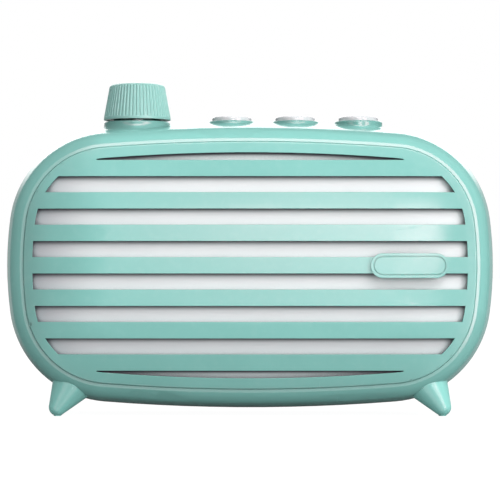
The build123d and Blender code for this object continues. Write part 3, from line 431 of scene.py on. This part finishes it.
def board(name, color, row_axis):
    """Printed board: solder mask over tracks along X and pads, in rows along another axis."""
    material, graph, shader = principled(name)
    coord = graph.coord()
    axes = graph.xyz(coord)
    along, across = axes[0], axes[row_axis]
    cell = 0.00254
    inputs = {
        0: (across / cell).math("FLOOR"),
        1: (along / (cell * 4)).math("FLOOR"),
    }
    key = graph.value("ShaderNodeCombineXYZ", 0, inputs)
    chance = graph.value("ShaderNodeTexWhiteNoise", "Value", {"Vector": key},
                         noise_dimensions="2D")
    off_row = off_centre(across / cell)
    off_column = off_centre(along / cell)
    track = off_row.step(over=(0.14, 0.18), to=(1.0, 0.0)) * chance.step(over=(0.45, 0.46))
    spot = length(off_column, off_row).step(over=(0.24, 0.27), to=(1.0, 0.0))
    pad = spot * chance.step(over=(0.62, 0.63))
    grain = graph.noise(coord, scale=1500.0)
    solder = (0.70, 0.68, 0.62)
    base = graph.mottle(grain, color, dark=0.85, light=1.1)
    base = graph.mix(track * 0.6, base, shade(color, 1.9))
    base = graph.mix(pad, base, solder)
    height = track * 0.5 + pad
    graph.fill(shader, {
        "Base Color": base,
        "Metallic": pad * 0.9,
        "Roughness": grain.linear(over=(0.3, 0.7), to=(0.25, 0.42)),
        "Normal": graph.bump(height, strength=0.5, distance=0.00006),
    })
    return material


def cell_shell(name):
    """Round cell: a sleeve in two colours along X, with small dents and scuffs."""
    material, graph, shader = principled(name)
    coord = graph.coord()
    x, y, z = graph.xyz(coord)
    low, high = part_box("batteries")
    split_x = 0.5 * (low[0] + high[0]) + 0.009
    right = (x - split_x).step(over=(-0.0001, 0.0001))
    big = graph.noise(coord, scale=90.0, detail=4.0)
    scuff = graph.noise(graph.mapped(coord, (500, 1800, 1800)), detail=4.0)
    black, copper = (0.035, 0.036, 0.04), (0.66, 0.36, 0.09)
    grime, bare = (0.3, 0.28, 0.25), (0.72, 0.70, 0.66)
    base = graph.mix(right, black, copper)
    base = graph.mix(big.step(over=(0.35, 0.7), to=(0.0, 0.12)), base, grime)
    base = graph.mix(scuff.step(over=(0.66, 0.74)) * 0.5, base, bare)
    edge = graph.bevel(0.0002)
    graph.fill(shader, {
        "Base Color": base,
        "Metallic": 0.65,
        "Roughness": big.linear(over=(0.3, 0.7), to=(0.22, 0.38)),
        "Normal": graph.bump(big, strength=0.2, distance=0.00006, normal=edge),
    })
    return material


def banded(name, color, pitch, offset):
    """Lacquered body with narrow colour rings along X."""
    material, graph, shader = principled(name)
    coord = graph.coord()
    x, y, z = graph.xyz(coord)
    bands = (x + offset) / pitch
    chance = graph.random(bands.math("FLOOR"))
    ring = off_centre(bands).step(over=(0.16, 0.2), to=(1.0, 0.0))
    grain = graph.noise(coord, scale=1200.0)
    base = graph.mottle(grain, color, dark=0.85, light=1.1)
    ramp = graph.node("ShaderNodeValToRGB", {"Fac": chance})
    stops = ramp.color_ramp.elements
    stops[0].color = (0.25, 0.04, 0.02, 1.0)
    stops[1].color = (0.02, 0.05, 0.22, 1.0)
    stops.new(0.5).color = (0.45, 0.22, 0.02, 1.0)
    graph.fill(shader, {
        "Base Color": graph.mix(ring, base, Value(graph, ramp.outputs["Color"])),
        "Roughness": 0.35,
        "Normal": graph.bump(grain, strength=0.3, distance=0.00003),
    })
    return material


# ------------------------------------------------------------------ finishes
MINT = (0.222, 0.498, 0.452)
BOARD_GREEN = (0.03, 0.17, 0.075)
# painted shade at the left end and lower edge of the front panel: (range of x or z, least tone)
PANEL_END_SHADE = (((-0.0680, -0.0560), 0.70), ((0.0065, 0.0165), 0.86))
# painted contact shade round the collars on the case: axis x, inner and outer radius, lower and
# upper height, depth of tone
CASE_COLLAR_SHADE = (
    (-0.0338, (0.0118, 0.0145), (0.0838, 0.0850), 0.45),
    (-0.00545, (0.0078, 0.0092), (0.0858, 0.0868), 0.40),
    (0.0135, (0.0078, 0.0092), (0.0856, 0.0866), 0.40),
    (0.03245, (0.0078, 0.0092), (0.0850, 0.0860), 0.40),
)
# painted shade on the white buttons' edges at grazing angles
WHITE_GRAZING_SHADE = {"over": (0.35, 0.90), "amount": 0.8, "color": (0.28, 0.28, 0.31)}

FINISHES = {
    "mint": gloss_plastic("mint_gloss", MINT, edge=0.0002),
    "mint_knob": gloss_plastic("mint_knob", (0.265, 0.500, 0.460), roughness=(0.28, 0.38),
                               edge=0.00008, coat=0.0),
    "mint_panel": gloss_plastic("mint_panel", MINT, edge=0.0002, agreement=(0.990, 0.998),
                                end_shade=PANEL_END_SHADE),
    "mint_case": gloss_plastic("mint_case", MINT, edge=0.0002, collar_shade=CASE_COLLAR_SHADE),
    # the body's mint painted lighter on the feet, standing in for the extra light they catch
    "mint_foot_painted_light": gloss_plastic("mint_foot_painted_light", (0.262, 0.605, 0.55), roughness=(0.22, 0.3)),
    "white": gloss_plastic("white_gloss", (0.645, 0.635, 0.65), roughness=(0.16, 0.22),
                           variation=0.02, coat=0.0, grazing=WHITE_GRAZING_SHADE),
    "cloth": cloth("white_cloth", (0.945, 0.93, 0.94)),
    "rubber": matte("black_rubber", (0.035, 0.035, 0.036), roughness=0.8, grain=700.0,
                    depth=0.00006),
    "silicone": matte("mint_silicone", (0.30, 0.62, 0.57), roughness=0.55, grain=700.0,
                      depth=0.00003),
    "dark": matte("black_plastic", (0.03, 0.03, 0.032), roughness=0.5, grain=1400.0,
                  depth=0.00003, edge=0.0002),
    "chip": matte("chip_plastic", (0.022, 0.022, 0.024), roughness=0.55, grain=2600.0,
                  depth=0.00002, edge=0.0001),
    "hardboard": matte("hardboard", (0.24, 0.14, 0.07), roughness=0.8, grain=500.0,
                       depth=0.00012, strength=0.7, variation=0.25),
    "steel": brushed("plated_steel", (0.60, 0.60, 0.61)),
    "steel_x": brushed("plated_steel_x", (0.62, 0.60, 0.56), axis=0),
    "can": brushed("tinned_can", (0.66, 0.66, 0.66), roughness=0.24, axis=1),
    "ferrite": matte("ferrite", (0.045, 0.043, 0.045), roughness=0.55, grain=1100.0,
                     depth=0.00006, variation=0.3, metallic=0.3),
    "paper": paper("cone_paper", (0.045, 0.043, 0.04)),
    "voice_wire": wound("voice_wire", (0.62, 0.27, 0.11), axis=1, pitch=0.00018),
    "aerial_wire": wound("aerial_wire", (0.60, 0.30, 0.12), axis=0, pitch=0.00034),
    "board_upright": board("green_board", BOARD_GREEN, row_axis=2),
    "board_flat": board("green_board_flat", BOARD_GREEN, row_axis=1),
    "cell": cell_shell("cell_sleeve"),
    "resistor": banded("resistor_body", (0.55, 0.42, 0.26), pitch=0.0011, offset=0.0003),
    "capacitor": matte("capacitor_sleeve", (0.02, 0.035, 0.10), roughness=0.35, grain=900.0,
                       depth=0.00002, variation=0.3, edge=0.0002),
    "wire_red": gloss_plastic("wire_red", (0.42, 0.03, 0.02), edge=0, variation=0.15),
    "wire_dark": gloss_plastic("wire_dark", (0.04, 0.04, 0.045), edge=0, variation=0.2),
}
# any piece not listed is dark
PIECES = {
    "mint": "rear_cover battery_door nameplate",
    "mint_case": "cabinet",
    "mint_panel": "grille_panel",
    "mint_knob": "volume_knob",
    "mint_foot_painted_light": "foot_front_left foot_front_right foot_rear_left foot_rear_right",
    "white": "tune_down_button band_button tune_up_button",
    "cloth": "grille_cloth",
    "hardboard": "baffle_board",
    "silicone": "foot_pads",
    "rubber": "speaker_gasket speaker_surround",
    "chip": "chips",
    "capacitor": "electrolytics",
    "resistor": "resistors",
    "steel": "baffle_screws speaker_screws rear_cover_screws board_screws "
             "control_board_screws foot_screws battery_contacts speaker_frame "
             "pot_nut pot_shaft jack_nut pot_pins",
    "steel_x": "battery_door_pins battery_springs",
    "can": "volume_pot if_cans",
    "ferrite": "speaker_magnet ferrite_rod tuning_slugs",
    "paper": "speaker_cone dust_cap",
    "voice_wire": "voice_coil",
    "aerial_wire": "antenna_coil",
    "board_upright": "main_board",
    "board_flat": "control_board",
    "cell": "batteries",
    "wire_red": "speaker_wires",
    "wire_dark": "battery_wires",
}
finish_of = {piece: finish for finish, pieces in PIECES.items() for piece in pieces.split()}

for name, piece in nodes.items():
    piece.data.materials.clear()
    piece.data.materials.append(FINISHES[finish_of.get(name, "dark")])
    # large faces keep their own normal, so long thin facets beside a rounded edge shade evenly
    weighted = piece.modifiers.new("face_weighted_normals", "WEIGHTED_NORMAL")
    weighted.mode = "FACE_AREA_WITH_ANGLE"
    weighted.weight = 80
    weighted.keep_sharp = True


# ------------------------------------------------------------------ cell springs
CELL_RADIUS = 0.0072
SPRING_TURNS = 3
STEPS_PER_TURN = 28
SPRING_RADIUS = 0.0031       # at the end wall
SPRING_TAPER = 0.0009        # lost by the cell end
SPRING_INSET = 0.00014       # first turn from the end of the tray springs' box
SPRING_ADVANCE = 0.00075     # along X over all turns
SPRING_WIRE_RADIUS = 0.00013


def tube(name, points, radius, sides=10):
    """Capped mesh tube swept along points that never run straight up."""
    verts, faces = [], []
    last = len(points) - 1
    up = Vector((0.0, 0.0, 1.0))
    for i, centre in enumerate(points):
        along = (points[min(i + 1, last)] - points[max(i - 1, 0)]).normalized()
        across = along.cross(up)
        across.normalize()
        third = along.cross(across).normalized()
        for k in range(sides):
            angle = 2 * math.pi * k / sides
            verts.append(centre + across * (radius * math.cos(angle))
                         + third * (radius * math.sin(angle)))
    for i in range(last):
        ring, following = i * sides, (i + 1) * sides
        for k in range(sides):
            k2 = (k + 1) % sides
            faces.append((ring + k, ring + k2, following + k2, following + k))
    faces.append(tuple(range(sides))[::-1])
    faces.append(tuple(last * sides + k for k in range(sides)))
    mesh = bpy.data.meshes.new(name)
    mesh.from_pydata([tuple(v) for v in verts], [], faces)
    mesh.polygons.foreach_set("use_smooth", [True] * len(mesh.polygons))
    mesh.update()
    made = bpy.data.objects.new(name, mesh)
    scene.collection.objects.link(made)
    return made


def cell_spring(side, start_x, inward, y, z):
    """Tapering coil along X; inward is the sign of its run from the end wall."""
    points = []
    steps = SPRING_TURNS * STEPS_PER_TURN
    for i in range(steps + 1):
        part = i / steps
        radius = SPRING_RADIUS - SPRING_TAPER * part
        angle = 2 * math.pi * SPRING_TURNS * part
        points.append(Vector((
            start_x + inward * (SPRING_INSET + SPRING_ADVANCE * part),
            y + radius * math.cos(angle),
            z + radius * math.sin(angle),
        )))
    spring = tube("cell_spring_" + side, points, SPRING_WIRE_RADIUS)
    spring.data.materials.append(FINISHES["steel_x"])
    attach(spring, "case")
    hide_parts("battery_springs")


springs_low, springs_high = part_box("battery_springs")
cells_low, cells_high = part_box("batteries")
cells_y = 0.5 * (cells_low[1] + cells_high[1])
cell_spring("left", springs_low[0], 1, cells_y, cells_low[2] + CELL_RADIUS)
cell_spring("right", springs_high[0], -1, cells_y, cells_high[2] - CELL_RADIUS)


# ------------------------------------------------------------------ floor
FLOOR_HALF = 6.0
FLOOR_Z = -0.00002


def floor_material():
    """Near white to the camera, grey to other rays, clear from below."""
    material = bpy.data.materials.new("studio_floor")
    material.use_nodes = True
    graph = Graph(material.node_tree)
    output = graph.node("ShaderNodeOutputMaterial")
    camera_ray = graph.value("ShaderNodeLightPath", "Is Camera Ray")
    glow = graph.value("ShaderNodeEmission", 0, {"Color": (1, 1, 1), "Strength": 0.97})
    patches = graph.noise(graph.coord(), scale=6.0)
    tone = graph.mix(patches, (0.10, 0.10, 0.10), (0.11, 0.11, 0.11))
    dim = graph.value("ShaderNodeBsdfDiffuse", 0, {"Color": tone})
    seen = graph.value("ShaderNodeAddShader", 0, {0: glow, 1: dim})
    unseen = graph.value("ShaderNodeBsdfDiffuse", 0, {"Color": (0.45, 0.455, 0.46)})
    top = graph.mix_shader(camera_ray, unseen, seen)
    below = graph.value("ShaderNodeNewGeometry", "Backfacing")
    clear = graph.value("ShaderNodeBsdfTransparent")
    graph.fill(output, {"Surface": graph.mix_shader(below, top, clear)})
    return material


floor_mesh = bpy.data.meshes.new("studio_floor")
corners = [(x * FLOOR_HALF, y * FLOOR_HALF, 0) for x, y in ((-1, -1), (1, -1), (1, 1), (-1, 1))]
floor_mesh.from_pydata(corners, [], [(0, 1, 2, 3)])
floor_mesh.materials.append(floor_material())
floor = bpy.data.objects.new("studio_floor", floor_mesh)
floor.location.z = FLOOR_Z
scene.collection.objects.link(floor)
floor.visible_glossy = False


# ------------------------------------------------------------------ world
# strengths of what glossy rays see
AMBIENT = 0.15
RING_ALL, RING_UPPER_RIGHT = 2.1, 7.8
BACK_TOP, BACK_RIGHT, BACK_LEFT = 3.3, 0.3, 0.34
CARD = 2.7
# strength of what lights the set
SKY = 0.85
# red, green and blue of the window, the ring and the card
TINTS = ((1.0, 1.0, 0.45), (0.62, 0.56, 1.0), (0.68, 0.62, 0.92))
RING_LEAN = math.radians(42)   # direction of the ring's bright quarter, above the right
DEGREES = 180 / math.pi

world = bpy.data.worlds.new("studio")
scene.world = world
world.use_nodes = True
sky = Graph(world.node_tree)


def reflections(x, y, z, azimuth, elevation):
    """Colour seen by glossy rays."""
    # angle from the viewer, and the place round the ring as parts of right and up
    theta = (y * -1.0).math("ARCCOSINE") * DEGREES
    spread = length(x, z).math("MAXIMUM", 0.0001)
    side, up = x / spread, z / spread
    # window in front of the set, seen in the nearly flat middle of the front
    window = (azimuth.step(over=(-5.0, -3.5))
              * azimuth.step(over=(15.0, 20.0), to=(1.0, 0.0))
              * elevation.step(over=(-0.35, 0.3))
              * elevation.step(over=(4.0, 12.0), to=(1.0, 0.0))
              * azimuth.linear(over=(-5.0, 6.0), to=(1.9, 13.5)))
    # ring light, seen only in the leaning lips and the rounded panel edge
    ring = theta.step(over=(27.5, 30.5)) * theta.step(over=(47.5, 50.5), to=(1.0, 0.0))
    leaning = side * math.cos(RING_LEAN) + up * math.sin(RING_LEAN)
    ring = ring * (RING_ALL + leaning.step(over=(0.05, 0.6)) * RING_UPPER_RIGHT)
    # pale backdrop, seen at grazing angles along the outline
    behind = up.step(over=(0.3, 0.9)) * BACK_TOP
    behind = behind + side.step(over=(0.3, 0.95)) * BACK_RIGHT
    behind = behind + side.step(over=(-0.3, -0.95)) * up.step(over=(-0.75, -0.1)) * BACK_LEFT
    behind = behind * theta.step(over=(134.0, 143.0))
    # large card above and to the right, seen wherever the front does not lean left or down
    card = (x.step(over=(-0.32, -0.06))
            * z.step(over=(-0.27, -0.05))
            * x.step(over=(0.15, 0.45), to=(1.0, 0.55))
            * theta.step(over=(65.0, 120.0), to=(1.0, 0.0))
            * CARD)
    rest = behind + elevation.step(over=(-30.0, 20.0), to=(0.4, 1.0)) * AMBIENT
    channels = {}
    for k, (window_tint, ring_tint, card_tint) in enumerate(TINTS):
        channels[k] = window * window_tint + ring * ring_tint + card * card_tint + rest
    return sky.value("ShaderNodeCombineColor", 0, channels)


def background(color, strength=1.0):
    return sky.value("ShaderNodeBackground", 0, {"Color": color, "Strength": strength})


world_output = sky.node("ShaderNodeOutputWorld")
rays = sky.node("ShaderNodeLightPath")
x, y, z = sky.xyz(sky.coord("Generated"))
azimuth = x.math("ARCTAN2", y * -1.0) * DEGREES   # 0 towards the viewer, positive to the right
elevation = z.math("ARCSINE") * DEGREES
glossy = background(reflections(x, y, z, azimuth, elevation))
brightness = (azimuth.step(over=(-75.0, 40.0), to=(0.76, 1.04))
              + elevation.step(over=(-60.0, 25.0), to=(-0.10, 0.02))) * SKY
diffuse = background((0.985, 0.995, 1.0), brightness)
white = background((1, 1, 1))
lit = sky.mix_shader(Value(sky, rays.outputs["Is Glossy Ray"]), diffuse, glossy)
shown = sky.mix_shader(Value(sky, rays.outputs["Is Camera Ray"]), lit, white)
sky.fill(world_output, {"Surface": shown})


# ------------------------------------------------------------------ lights
LIGHT_TARGET = Vector((0.0, 0.0, 0.045))
LIGHT_DISTANCE = 0.9
# name, degrees to the right of the viewer, degrees above level, side of the square, watts
LIGHTS = (
    ("side_soft", 50, 10, 0.35, 2.45),
    ("key", 20, 45, 0.30, 1.5),
    ("high_side", 50, 45, 0.35, 1.65),
)
for name, right, above, size, power in LIGHTS:
    right, above = math.radians(right), math.radians(above)
    light = bpy.data.lights.new(name, "AREA")
    light.shape = "RECTANGLE"
    light.size = light.size_y = size
    light.energy = power
    lamp = bpy.data.objects.new(name, light)
    lamp.location = (
        LIGHT_DISTANCE * math.sin(right) * math.cos(above),
        -LIGHT_DISTANCE * math.cos(right) * math.cos(above),
        LIGHT_TARGET.z + LIGHT_DISTANCE * math.sin(above),
    )
    aim = LIGHT_TARGET - lamp.location
    lamp.rotation_euler = aim.to_track_quat("-Z", "Y").to_euler()
    lamp.visible_glossy = False
    lamp.visible_camera = False
    scene.collection.objects.link(lamp)

# ------------------------------------------------------------------ camera
CAMERA_DISTANCE = 0.650
CAMERA_Z = 0.0444

lens = bpy.data.cameras.new("camera")
camera = bpy.data.objects.new("camera", lens)
scene.collection.objects.link(camera)
camera.location = (0.0, -CAMERA_DISTANCE, CAMERA_Z)
camera.rotation_euler = (math.radians(90), 0, 0)
lens.sensor_width = 36.0
lens.lens = 156.024
lens.shift_y = 0.0306
lens.clip_start = 0.01
lens.clip_end = 50.0
scene.camera = camera
scene.view_settings.view_transform = "Standard"
scene.view_settings.look = "None"
scene.view_settings.exposure = 0.0
scene.view_settings.gamma = 1.0
